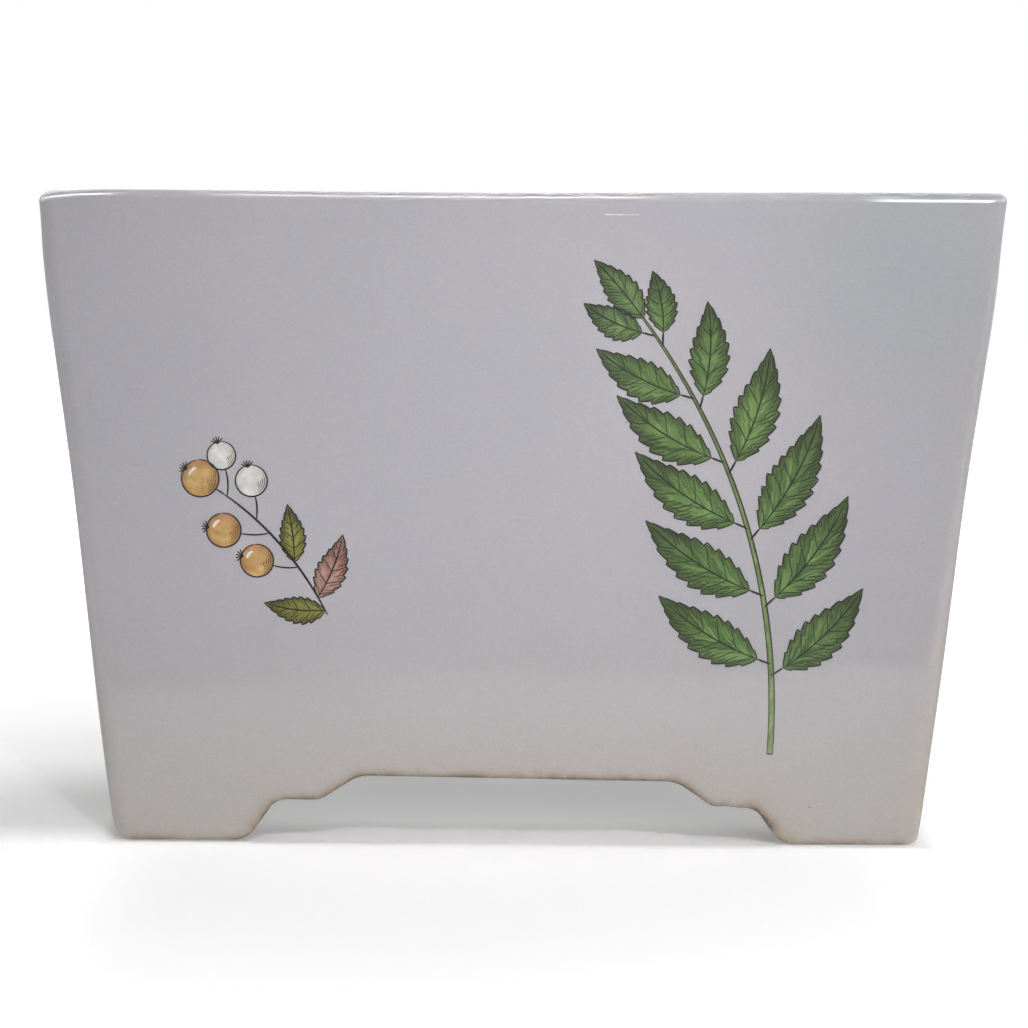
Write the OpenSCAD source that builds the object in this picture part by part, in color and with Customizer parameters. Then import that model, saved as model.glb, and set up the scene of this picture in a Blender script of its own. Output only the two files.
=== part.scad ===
// Square footed planter, built from clay slabs.
// Four leaning walls are mitred and luted at the corners, a floor slab sits between them
// above the arched feet, and coils of clay are pressed into the inside seams.
// Millimetres. It stands on z = 0, centred on the z axis, with its front towards -y.

/* [Outside] */
// Width over two opposite outer faces, drawn on to the height of the rim
top_w = 300; // [280:1:330]
// Width over two opposite outer faces at the soles of the feet
base_w = 258; // [240:1:276]
// Height from the soles to the top of the rim
height = 207; // [180:1:240]
// Radius of the upright outer corners
corner_r = 6; // [4:0.5:8]

/* [Slabs] */
// Thickness of a wall slab, square to its face
wall_t = 9; // [7:0.5:11]
// Radius of the rim's outer and inner edges
rim_r = 3; // [2:0.25:3.25]
// Thickness of the floor slab
floor_t = 10; // [8:0.5:14]
// Height of the floor's underside above the top of the arches
floor_lift = 3; // [1:0.5:8]
// Radius of the drain hole
drain_r = 9; // [6:0.5:14]

/* [Feet] */
// Width of a foot on the ground, from the outer corner to the start of the arch
foot_w = 42; // [34:1:50]
// Height of the top of the arch between the feet
arch_h = 21; // [18:0.5:26]
// Height of the small shelf in the arch's outline
shelf_h = 12.7; // [10:0.1:15]
// Sideways run of the steep rise from a foot to its shelf
rise_run = 10; // [6:0.5:14]
// Width of the shelf
shelf_w = 14; // [10:0.5:20]
// Sideways run of the gentle rise from a shelf to the top of the arch
brow_run = 12.5; // [8:0.5:18]
// Radius at the inner end of a foot's sole
toe_r = 9; // [5:0.5:12]
// Radius where the steep rise meets the shelf
heel_r = 7; // [4:0.5:10]
// Radius where the shelf turns up again
shelf_r = 9; // [5:0.5:12]
// Radius where the gentle rise meets the top of the arch
brow_r = 11; // [6:0.5:14]
// Radius of a sole's outer edge
sole_out_r = 2.5; // [1.5:0.25:4]
// Radius of a sole's inner edge
sole_in_r = 1.5; // [1:0.25:2]

/* [Coils] */
// Width of a pressed coil along each of the two faces that it joins
coil_leg = 8; // [5:0.5:10]
// Radius of the fingertip that hollows a pressed coil
finger_r = 14; // [12:0.5:20]
// Height above the ground at which the coils inside the feet end
foot_coil_rise = 2; // [1:0.5:5]

/* [Hidden] */
$fn = 64;
arc_steps = 6;
glaze_colour = [0.72, 0.71, 0.74];
inside_colour = [0.78, 0.77, 0.78];
coil_colour = [0.66, 0.62, 0.58];

// How far the walls lean outwards from upright, in degrees
lean = atan((top_w - base_w) / 2 / height);
// How far a corner line leans, seen square to the upright diagonal plane that holds it
corner_lean = atan(sqrt(2) * tan(lean));
// Half the angle between two neighbouring walls, measured square to their corner line
half_corner = atan(1 / cos(corner_lean));
rim_z = height - rim_r;
floor_z = arch_h + floor_lift;
floor_top = floor_z + floor_t;
reach = top_w;
spare = 1;

// Half width over the outer faces, and between the inner faces, at a height z
function outer_half(z) = base_w / 2 + z * tan(lean);
function inner_half(z) = outer_half(z) - wall_t / cos(lean);
// A point of the wall's section: inset square to the outer face, then up along the wall to height z
function in_wall(inset, z) = [outer_half(z) - inset / cos(lean), z];

function unit(v) = v / norm(v);
// The signed turn from angle a to angle b by the shorter way
function turn(a, b) = b - a > 180 ? b - a - 360 : b - a < -180 ? b - a + 360 : b - a;
// The points of an arc of radius r that eases the corner b of the path a, b, c.
// The radius gives way where the two sides are too short for it.
function eased(a, b, c, r) =
    let (u = unit(a - b), v = unit(c - b), half = acos(u * v) / 2)
    let (back = min(r / tan(half), norm(a - b) / 2, norm(c - b) / 2))
    let (centre = b + unit(u + v) * back / cos(half), near = b + u * back - centre)
    let (far = b + v * back - centre, first = atan2(near.y, near.x))
    let (sweep = turn(first, atan2(far.y, far.x)))
    [for (i = [0:arc_steps]) let (t = first + sweep * i / arc_steps)
        centre + norm(near) * [cos(t), sin(t)]];
// The centre of a circle of radius r through a and b, on the left of the way from a to b
function centre_left(a, b, r) =
    let (along = unit(b - a), half = norm(b - a) / 2)
    (a + b) / 2 + [-along.y, along.x] * sqrt(r * r - half * half);

// What a circle of radius r leaves of the corner at p, whose sides leave along unit vectors u and v
module corner_waste(p, u, v, r) {
    half = acos(u * v) / 2;
    back = r / tan(half);
    difference() {
        polygon([p + u * back, p + u * back - v * spare, p - (u + v) * spare,
            p + v * back - u * spare, p + v * back]);
        translate(p + unit(u + v) * r / sin(half)) circle(r);
    }
}

// The upright section of a wall: x is the distance from the planter's middle, y the height
module wall_section() {
    up = [sin(lean), cos(lean)];
    difference() {
        polygon([in_wall(0, 0), in_wall(0, height), in_wall(wall_t, height), in_wall(wall_t, 0)]);
        corner_waste(in_wall(0, 0), [-1, 0], up, sole_out_r);
        corner_waste(in_wall(wall_t, 0), [1, 0], up, sole_in_r);
        corner_waste(in_wall(0, height), [-1, 0], -up, rim_r);
        corner_waste(in_wall(wall_t, height), [1, 0], -up, rim_r);
    }
}

// The arch's outline on the front face, from the right foot's toe to the left one's
function arch_outline() =
    let (toe = base_w / 2 - foot_w, heel = toe - rise_run)
    let (shelf = heel - shelf_w, brow = shelf - brow_run)
    let (half = [[toe, 0], [heel, shelf_h], [shelf, shelf_h], [brow, arch_h]])
    let (radii = [toe_r, heel_r, shelf_r, brow_r])
    let (path = concat([[base_w / 2, 0]], half,
        [for (i = [3:-1:0]) [-half[i].x, half[i].y]], [[-base_w / 2, 0]]))
    [for (i = [1:8]) each eased(path[i - 1], path[i], path[i + 1], radii[min(i, 9 - i) - 1])];

module arch_void() {
    outline = arch_outline();
    low = [[outline[0].x, -spare], [-outline[0].x, -spare]];
    rotate([90, 0, 0]) linear_extrude(reach) polygon(concat([low[0]], outline, [low[1]]));
}

// Places its children on a corner line. half is the half width there on the ground.
// x then points out of the corner, and z runs up along the line.
module on_corner(half) {
    translate([half, -half, 0]) rotate([0, 0, -45]) rotate([0, corner_lean, 0]) children();
}

// What the round outer corner leaves of the front right corner
module corner_waste_bar() {
    u = [-cos(half_corner), sin(half_corner)];
    on_corner(outer_half(0)) translate([0, 0, -height / 2]) linear_extrude(2 * height)
        corner_waste([0, 0], u, [u.x, -u.y], corner_r);
}

// The quarter of the planter that faces the front, bounded by the mitre planes
module front_quarter() {
    linear_extrude(2 * height) polygon([[0, 0], [reach, -reach], [-reach, -reach]]);
}

// One wall slab in its place at the front
module wall() {
    color(glaze_colour) difference() {
        intersection() {
            rotate([90, 0, -90]) linear_extrude(2 * reach, center = true) wall_section();
            front_quarter();
        }
        arch_void();
        corner_waste_bar();
        mirror([1, 0, 0]) corner_waste_bar();
    }
}

// The space between the walls from height low to height high, as wide as the inner faces leave it
module between_walls(low, high) {
    outline = [[-inner_half(low), low], [inner_half(low), low],
        [inner_half(high), high], [-inner_half(high), high]];
    intersection() {
        rotate([90, 0, 0]) linear_extrude(reach, center = true) polygon(outline);
        rotate([90, 0, 90]) linear_extrude(reach, center = true) polygon(outline);
    }
}

module floor_slab() {
    color(inside_colour) difference() {
        between_walls(floor_z, floor_top);
        translate([0, 0, floor_z - spare]) cylinder(h = floor_t + 2 * spare, r = drain_r);
    }
}

// The section of a pressed coil in the corner at p, with its ends a and b on the two faces.
// The way from a to b keeps the fingertip on its left.
module coil_section(p, a, b) {
    difference() {
        polygon([p, a, b]);
        translate(centre_left(a, b, finger_r)) circle(finger_r);
    }
}

// A coil in the front right upright seam, between the heights low and high
module upright_coil(low, high) {
    leg = coil_leg * [-cos(half_corner), sin(half_corner)];
    color(coil_colour) intersection() {
        on_corner(inner_half(0)) linear_extrude(2 * height)
            coil_section([0, 0], [leg.x, -leg.y], leg);
        translate([0, -reach, low]) cube([reach, reach, high - low]);
    }
}

module corner_coil() upright_coil(floor_top, rim_z);
module foot_coil() upright_coil(foot_coil_rise, floor_z);

// The coil in the front seam between floor and wall, cut short by the upright coils
module floor_coil() {
    p = [inner_half(floor_top), floor_top];
    a = p - [coil_leg, 0];
    b = p + coil_leg * [sin(lean), cos(lean)];
    color(coil_colour) difference() {
        intersection() {
            rotate([90, 0, -90]) linear_extrude(2 * reach, center = true)
                coil_section(p, a, b);
            front_quarter();
        }
        corner_coil();
        mirror([1, 0, 0]) corner_coil();
    }
}

// Turns its children from the front, or the front right, to the next side n times
module side(n) rotate([0, 0, 90 * n]) children();

side(0) wall();  // front_wall
side(1) wall();  // right_wall
side(2) wall();  // rear_wall
side(3) wall();  // left_wall
floor_slab();
side(0) corner_coil();  // corner_coil_front_right
side(1) corner_coil();  // corner_coil_rear_right
side(2) corner_coil();  // corner_coil_rear_left
side(3) corner_coil();  // corner_coil_front_left
side(0) floor_coil();  // floor_coil_front
side(1) floor_coil();  // floor_coil_right
side(2) floor_coil();  // floor_coil_rear
side(3) floor_coil();  // floor_coil_left
side(0) foot_coil();  // foot_coil_front_right
side(1) foot_coil();  // foot_coil_rear_right
side(2) foot_coil();  // foot_coil_rear_left
side(3) foot_coil();  // foot_coil_front_left
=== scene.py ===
# %% [markdown]
# # A square footed planter
# The real object is a pot built by hand from rolled slabs of clay. Four leaning walls are joined at
# the corners, a floor slab sits between them above four bracket feet, and coils of clay are pressed
# into the inside seams. The whole pot is dipped in a pale grey glaze and painted with leaves.
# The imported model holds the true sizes. This script loads it as a fixed frame and dresses it: each
# clay piece gets a finely curved skin with the soft unevenness of handwork, then come the glaze, the
# painting, and the light.

# %% Load the frame
import bpy
import math
import numpy as np
from mathutils import Matrix, Vector


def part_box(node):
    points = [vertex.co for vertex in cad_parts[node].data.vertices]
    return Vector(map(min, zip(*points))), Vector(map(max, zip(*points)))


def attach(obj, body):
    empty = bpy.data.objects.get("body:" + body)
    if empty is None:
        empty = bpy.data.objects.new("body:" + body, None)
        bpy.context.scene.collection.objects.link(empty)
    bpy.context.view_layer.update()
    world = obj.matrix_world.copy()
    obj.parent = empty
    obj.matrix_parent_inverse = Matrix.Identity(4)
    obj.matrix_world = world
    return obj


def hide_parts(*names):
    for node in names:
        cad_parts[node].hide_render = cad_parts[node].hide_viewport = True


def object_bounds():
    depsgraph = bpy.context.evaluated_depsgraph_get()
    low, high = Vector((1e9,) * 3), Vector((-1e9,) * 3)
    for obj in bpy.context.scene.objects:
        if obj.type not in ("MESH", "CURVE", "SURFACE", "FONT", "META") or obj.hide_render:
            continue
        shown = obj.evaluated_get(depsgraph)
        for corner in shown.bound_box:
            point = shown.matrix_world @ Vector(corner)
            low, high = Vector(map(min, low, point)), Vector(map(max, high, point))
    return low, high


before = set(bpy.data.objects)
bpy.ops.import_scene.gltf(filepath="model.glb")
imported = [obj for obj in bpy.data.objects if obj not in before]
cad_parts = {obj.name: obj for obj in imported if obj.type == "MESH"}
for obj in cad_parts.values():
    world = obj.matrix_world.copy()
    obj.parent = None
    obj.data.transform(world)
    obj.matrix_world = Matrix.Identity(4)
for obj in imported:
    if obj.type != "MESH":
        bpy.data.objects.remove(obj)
cad_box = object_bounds()
print("CAD box:", [[round(v, 4) for v in corner] for corner in cad_box])

# %% [markdown]
# ## Sizes
# Everything is in metres, in the model's own frame: z is up, the ground is z = 0, and the painted
# front wall faces -y. A few driving sizes describe the clay, and the rest follows from them. The
# height is read from the frame, so the skin can't drift away from the solid that it covers.

# %% Driving sizes
MM = 0.001
HEIGHT = cad_box[1][2]
TOP_W = 300 * MM
BASE_W = 258 * MM
WALL_T = 9 * MM
CORNER_R = 6 * MM
RIM_R = 3 * MM
FLOOR_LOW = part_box("floor_slab")[0][2]
FLOOR_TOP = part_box("floor_slab")[1][2]
DRAIN_R = 9 * MM
COIL_LEG = 8 * MM
TAN_LEAN = (TOP_W - BASE_W) / 2 / HEIGHT
LEAN = math.atan(TAN_LEAN)
SIDES = ["front", "right", "rear", "left"]
CORNERS = ["front_right", "rear_right", "rear_left", "front_left"]
print("leans", round(math.degrees(LEAN), 2), "degrees; floor from", round(FLOOR_LOW, 4), "to",
      round(FLOOR_TOP, 4))


def outer_half(z):
    """Half width over the outer faces at height z: a straight line from base to rim."""
    return BASE_W / 2 + z * TAN_LEAN


def smooth(low, high, x):
    """0 at low and before it, 1 at high and past it, and 3t^2 - 2t^3 between."""
    t = np.clip((x - low) / (high - low), 0, 1)
    return t * t * (3 - 2 * t)


# %% [markdown]
# ## The unevenness of handwork
# A slab of soft clay is never quite flat. Palms leave shallow swellings and hollows about half a
# millimetre deep, and the rim dips by up to a millimetre between its corners. Each one is a Gaussian
# push with a place, a reach and a depth. The same pushes act on every piece, also on the painting, so
# the pieces stay in touch. They move a point outwards from the nearest wall, and never past the widest
# part of the rim. A noise or a sculpting brush could do it as well, but a list of pushes says exactly
# where each hollow is.

# %% Pushes of the hand
# Each push: x, y, z of its middle, its reach, and its depth outwards, all in millimetres
PUSHES = [
    (-150, -150, 205, 16, -1.3),
    (-145, -140, 172, 42, 0.35),
    (-138, -135, 118, 34, -0.4),
    (-130, -130, 28, 45, 0.45),
    (150, -150, 168, 34, 0.75),
    (140, -138, 108, 36, -0.45),
    (131, -131, 10, 40, -0.4),
    (131, -131, -1, 7, -0.9),
    (-131, -131, -1, 6, -0.4),
    (30, -146, 190, 38, 0.5),
    (-60, -143, 140, 46, -0.5),
    (55, -139, 95, 40, -0.45),
    (-20, -136, 60, 45, 0.4),
    (95, -142, 150, 40, -0.4),
    (-95, -134, 45, 36, 0.3),
    (148, 0, 180, 48, 0.45),
    (140, 60, 110, 45, -0.5),
    (138, -50, 70, 42, 0.4),
    (0, 147, 185, 50, -0.45),
    (70, 140, 120, 46, 0.45),
    (-75, 137, 75, 44, -0.4),
    (-148, 10, 175, 50, -0.4),
    (-140, -65, 100, 44, 0.35),
    (-139, 70, 90, 46, 0.45),
    (145, 145, 160, 40, 0.35),
    (-145, 145, 165, 42, -0.5),
]
# How far the whole rim is drawn in
RIM_DRAW = 0.07 * MM
# How far below the rim outward pushes start to fade, and where they are gone
FADE_FROM = 34 * MM
FADE_TO = 5 * MM
# How far down the rim's dips are felt
WAVE_REACH = 30 * MM
# Each dip of the rim: x, y of its middle, its reach and its depth, in millimetres
RIM_DIPS = [
    (-10, -150, 75, 0.8),
    (-100, -150, 55, 0.3),
    (-150, -150, 8, 0.9),
    (-150, -143, 16, 0.9),
    (150, 45, 62, 0.5),
    (25, 150, 70, 0.65),
    (-150, 30, 64, 0.4),
    (150, 150, 9, 0.7),
    (-150, 150, 8, 0.5),
]


def hand_push(points):
    """How far out the hand has moved each point: the sum of depth * exp(-(distance / reach)^2). The
    outward part fades towards the rim, and the rim itself is drawn in by a hair."""
    total = np.zeros(points.shape[:-1])
    for x, y, z, reach, depth in PUSHES:
        far = np.linalg.norm(points - np.array([x, y, z]) * MM, axis=-1)
        total += depth * MM * np.exp(-((far / (reach * MM)) ** 2))
    near_rim = smooth(HEIGHT - FADE_FROM, HEIGHT - FADE_TO, points[..., 2])
    return np.minimum(total, 0) + np.maximum(total, 0) * (1 - near_rim) - RIM_DRAW * near_rim


def rim_wave(x, y):
    """How far the rim dips at a place in plan: the sum of depth * exp(-(distance / reach)^2) over
    its dips, and a quicker waver of 0.02 * (2 + sin 95x + sin 88y) mm."""
    total = 0.02 * (2 + np.sin(x * 95 + 1) + np.sin(y * 88 + 2))
    for dip_x, dip_y, reach, depth in RIM_DIPS:
        far = np.hypot(x / MM - dip_x, y / MM - dip_y)
        total = total + depth * np.exp(-((far / reach) ** 2))
    return total * MM


def settled(place, out):
    """Where a point of the template ends up on the handmade pot: pushed along out, which is square to
    the nearest wall in plan, and sunk with the rim's wave near the top."""
    moved = place + out * hand_push(place)[..., None]
    high = smooth(HEIGHT - WAVE_REACH, HEIGHT, place[..., 2])
    moved[..., 2] -= rim_wave(place[..., 0], place[..., 1]) * high
    return moved


print(len(PUSHES), "pushes and", len(RIM_DIPS), "dips of the rim")

# %% [markdown]
# ## Making a mesh from a grid of points
# All new pieces are grids: rows of points joined by four-sided faces. A grid can close on itself in
# one direction, as a loop round a section does, and its open ends can be capped. Normals are worked
# out from the grid and stored with the mesh, because a gloss shows every kink that Blender's own
# averaging leaves where two pieces meet.

# %% Grid to mesh
def grid_normals(points):
    """Unit normals of a grid of loops, on the side that its faces turn to: the cross product of its
    two central differences."""
    along = np.gradient(points, axis=0)
    across = (np.roll(points, -1, axis=1) - np.roll(points, 1, axis=1)) / 2
    normals = np.cross(across, along)
    return normals / np.maximum(np.linalg.norm(normals, axis=-1, keepdims=True), 1e-12)


def grid_quads(rows, loop, wrap=False):
    """The faces of a grid whose points are numbered row by row. Each row is a loop, and with wrap the
    last row joins the first."""
    r, c = np.meshgrid(np.arange(rows if wrap else rows - 1), np.arange(loop), indexing="ij")
    low, high, beside = r * loop, (r + 1) % rows * loop, (c + 1) % loop
    return np.stack([low + c, low + beside, high + beside, high + c], -1).reshape(-1, 4)


# %% [markdown]
# Blender counts the side from which a face's corners run anticlockwise as its outside. A closed
# mesh tells by its volume whether that holds: a negative one means that it is inside out. Such a
# mesh could be mended with Recalculate Normals, but turning the arrays first keeps the stored
# normals right too.

# %% Mesh objects
def signed_volume(verts, groups):
    """The volume that the faces enclose, negative if they are inside out. It sums each face's fan
    of tetrahedra to the origin."""
    total = 0.0
    for faces in groups:
        corner = verts[faces]
        for k in range(1, faces.shape[1] - 1):
            total += np.einsum("ij,ij->", corner[:, 0], np.cross(corner[:, k], corner[:, k + 1])) / 6
    return total


def add_object(name, data):
    """A new object of the scene that shows the data."""
    thing = bpy.data.objects.new(name, data)
    bpy.context.scene.collection.objects.link(thing)
    return thing


def mesh_piece(name, verts, groups, normals=None, uv=None, layers=None):
    """A mesh object from arrays: verts (n, 3), and groups of faces (m, corners). Where the faces point
    inwards they are turned, and the normals (n, 3) with them. uv (n, 2) and each named layer (n,)
    hold one value per vertex."""
    if signed_volume(verts, groups) < 0:
        groups = [faces[:, ::-1] for faces in groups]
        normals = None if normals is None else -normals
    mesh = bpy.data.meshes.new(name)
    mesh.from_pydata(verts, [], [face for faces in groups for face in faces.tolist()])
    mesh.shade_smooth()
    if uv is not None:
        corners = np.zeros(len(mesh.loops), dtype=np.int32)
        mesh.loops.foreach_get("vertex_index", corners)
        mesh.uv_layers.new(name="paint").data.foreach_set("uv", uv[corners].astype(np.float32).ravel())
    for layer, values in (layers or {}).items():
        mesh.attributes.new(layer, "FLOAT", "POINT").data.foreach_set("value", values.astype(np.float32))
    if normals is not None:
        mesh.normals_split_custom_set_from_vertices(normals)
    return add_object(name, mesh)


def tube_piece(name, points, normals=None, layers=None):
    """A closed mesh from rows of section loops (rows, loop, 3), capped at its first and last row."""
    rows, loop = points.shape[:2]
    normals = grid_normals(points) if normals is None else normals
    first = np.arange(loop)[None]
    groups = [grid_quads(rows, loop), first[:, ::-1], first + (rows - 1) * loop]
    flat = {layer: values.reshape(-1) for layer, values in (layers or {}).items()}
    return mesh_piece(name, points.reshape(-1, 3), groups, normals.reshape(-1, 3), layers=flat)


def turned(points, side):
    """Points turned about z from the front to side number 0 front, 1 right, 2 rear or 3 left."""
    return points @ np.array(Matrix.Rotation(side * math.pi / 2, 3, "Z")).T


# %% [markdown]
# ## The arch between the feet
# Each wall's lower edge is cut to one outline: a flat sole, a steep rise, a small shelf, a gentle
# rise, and a flat top. The corners of that outline are eased with arcs. The knife never follows the
# template twice in the same way, so each side's arch is lifted and tilted by a fraction of a
# millimetre. Half the outline is enough, as it is mirrored. A Boolean could cut the arch, but would
# leave ragged faces under the gloss, so the grid's columns stand on the outline instead.

# %% Outline of half an arch
# The corners of the outline as (x, z, radius) in millimetres, from the middle outwards
ARCH_CORNERS = [(50.5, 21, 11), (63, 12.7, 9), (77, 12.7, 7), (87, 0, 9)]
ARC_POINTS = 24
OUTLINE_POINTS = 86
# Between these places across, the outline bends and has its points closer together
BENDS_FROM = 44 * MM
BENDS_TO = 92 * MM
CLOSER = 4.0
FLAT_END = BASE_W / 2 - CORNER_R


def unit(vectors):
    """The vectors scaled to a length of 1: each divided by its length."""
    return vectors / np.linalg.norm(vectors, axis=-1, keepdims=True)


def eased_outline(start, corners, end):
    """A polyline through the corners, each replaced by an arc that touches both of its sides."""
    stops = np.array([start] + [corner[:2] for corner in corners] + [end], float)
    share = np.linspace(0, 1, ARC_POINTS)[:, None]
    path = [stops[0]]
    for i, (_, _, radius) in enumerate(corners, start=1):
        back, ahead = unit(stops[i - 1] - stops[i]), unit(stops[i + 1] - stops[i])
        half = math.acos(float(back @ ahead)) / 2
        middle = stops[i] + unit(back + ahead) * radius / math.sin(half)
        a, b = (stops[i] + way * radius / math.tan(half) - middle for way in (back, ahead))
        path.extend(middle + unit(a * (1 - share) + b * share) * radius)
    return np.array(path + [stops[-1]]) * MM


def between(place, knots, rows):
    """A table's rows at some places, straight between its own rows, which are at the knots."""
    return np.stack([np.interp(place, knots, column) for column in rows.T], -1)


def resample(path, weight, count):
    """count points along a polyline, closer together where weight(x) is larger."""
    way = np.concatenate([[0], np.cumsum(np.linalg.norm(np.diff(path, axis=0), axis=1))])
    s = np.linspace(0, way[-1], 4000)
    load = np.concatenate([[0], np.cumsum(weight(between(s, way, path)[:-1, 0]))])
    return between(np.interp(np.linspace(0, load[-1], count), load, s), way, path)


half_arch = eased_outline((0, 21), ARCH_CORNERS, (FLAT_END / MM, 0))
half_arch = resample(half_arch, lambda x: np.where((x > BENDS_FROM) & (x < BENDS_TO), CLOSER, 1.0),
                     OUTLINE_POINTS)
full_arch = np.concatenate([half_arch[:0:-1] * [-1, 1], half_arch])
print("arch outline:", len(full_arch), "points, top at", round(full_arch[:, 1].max() / MM, 1), "mm")

# %% [markdown]
# ## One wall's skin
# The skin of a wall is a grid. Its columns stand side by side from corner to corner, and each one is
# a loop round the wall's section: up the outer face, over the rim, down the inner face, and back
# under the foot or arch. A place on the wall is given by a column, a height and a depth from the
# outer face. At that height and depth the plan is a square with round corners, and the last few
# columns on either side turn through 45 degrees to meet the next wall on the corner's diagonal.

# %% Places on a wall
CORNER_COLUMNS = 9
INNER_CORNER_R = 0.4 * MM
# Wider than this, the columns of the lower edge spread as the plan does
SHEAR_FROM = 95 * MM


def inner_half(z, depth=WALL_T):
    """Half width at height z and at a depth from the outer faces: outer half - depth / cos(lean)."""
    return outer_half(z) - depth / math.cos(LEAN)


def corner_radius(depth):
    """The plan's corner radius shrinks with depth from the outer face and ends nearly sharp."""
    return np.maximum(CORNER_R - depth, 0) + INNER_CORNER_R * smooth(0, CORNER_R, depth)


def wall_points(across, turn, z, depth, spread, shift, side):
    """Points of the wall on a side. across is x at the base, turn is 0 on the flat and up to 1 (or
    down to -1) round a corner, and spread tells how far up the face a point is, as x widens with it.
    x = across where spread is 0, and across * width / base width where spread is 1."""
    across, turn, z, depth = np.broadcast_arrays(across, turn, z, depth)
    half = inner_half(z, depth)
    radius = corner_radius(depth)
    flat = half - radius
    inside = np.abs(across)
    sheared = SHEAR_FROM + (inside - SHEAR_FROM) * (flat - SHEAR_FROM) / (FLAT_END - SHEAR_FROM)
    kept = np.where(inside < SHEAR_FROM, inside, sheared) * np.sign(across)
    x = kept * (1 - spread) + across * flat / FLAT_END * spread + shift
    angle = turn * math.pi / 4
    x = np.where(turn == 0, x, np.sign(turn) * flat + radius * np.sin(angle))
    y = -np.where(turn == 0, half, flat + radius * np.cos(angle))
    out = np.stack([np.sin(angle), -np.cos(angle), 0 * angle], -1)
    return settled(turned(np.stack([x, y, z], -1), side), turned(out, side))


# %% [markdown]
# One outline serves all four walls, and each side adds its own faults to it: a lift, a tilt, a high
# or low place on a shelf, and a steep rise that the knife left early or late. Four outlines drawn by
# hand would do too, but then a change of the arch would have to be made four times.

# %% Each side's arch
# How far each side's arch is lifted in its middle, and how much it rises from left to right
ARCH_LIFT = [0.0, 0.4, -0.3, 0.2]
ARCH_TILT = [-0.55, 0.4, 0.3, -0.4]
# How far the knife strayed outwards at the foot of the left and right steep rise, in millimetres
STEP_STRAY = [(-0.6, -3.0), (-0.6, 0.5), (0.4, -0.8), (-0.9, 0.3)]
# Where each side's shelf is a little high or low, and by how much, in millimetres
SHELF_STRAY = [(67, 0.5), (-66, -0.4), (64, 0.5), (-68, -0.5)]
SHELF_REACH = 4
TILT_REACH = 45 * MM
# The height at which a stray foot of a rise meets the true outline again
STRAY_TOP = 17 * MM


def arch_for(side):
    """The arch's outline for one side. Its lift and tilt * x / reach fade out towards the feet, the
    shelf has its exp(-((x - place) / reach)^2), and a rise strays by 1 - z / top."""
    x, z = full_arch.T
    shelf, high = SHELF_STRAY[side]
    uneven = ARCH_LIFT[side] + ARCH_TILT[side] * x / TILT_REACH
    uneven = uneven + high * np.exp(-(((x / MM - shelf) / SHELF_REACH) ** 2))
    stray = np.where(x < 0, -STEP_STRAY[side][0], STEP_STRAY[side][1])
    steep = (1 - z / STRAY_TOP) * smooth(18 * MM, 12 * MM, z) * smooth(118 * MM, 94 * MM, np.abs(x))
    return np.stack([x + stray * MM * steep, z + uneven * MM * smooth(0, 12 * MM, z)], -1)


# %% [markdown]
# The section's loop has six stretches. The rounded edges are quarter circles in depth and height,
# measured square to the arch's outline, so that the steep parts of the arch are rounded as evenly as
# the flat ones. The rows of the face lie close together at both its ends, where its shape and its
# colour change quickly: t - 0.9 sin(2 pi t) / (2 pi). A Boolean and a Bevel could cut and round a
# slab as well, but a grid keeps even faces and smooth normals round every edge.

# %% Skin of a wall
FACE_ROWS = 72
RIM_ROWS = 16
INSIDE_ROWS = 26
INNER_EDGE_ROWS = 6
SOLE_ROWS = 11
SOLE_R = 2.5 * MM
ARCH_R = 2.2 * MM
INNER_EDGE_R = 1.5 * MM


def left_of(path):
    """Vectors of length 1 square to a path (n, 2), to the left of its way."""
    ahead = np.gradient(path, axis=0)
    return unit(np.stack([-ahead[:, 1], ahead[:, 0]], -1))


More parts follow.
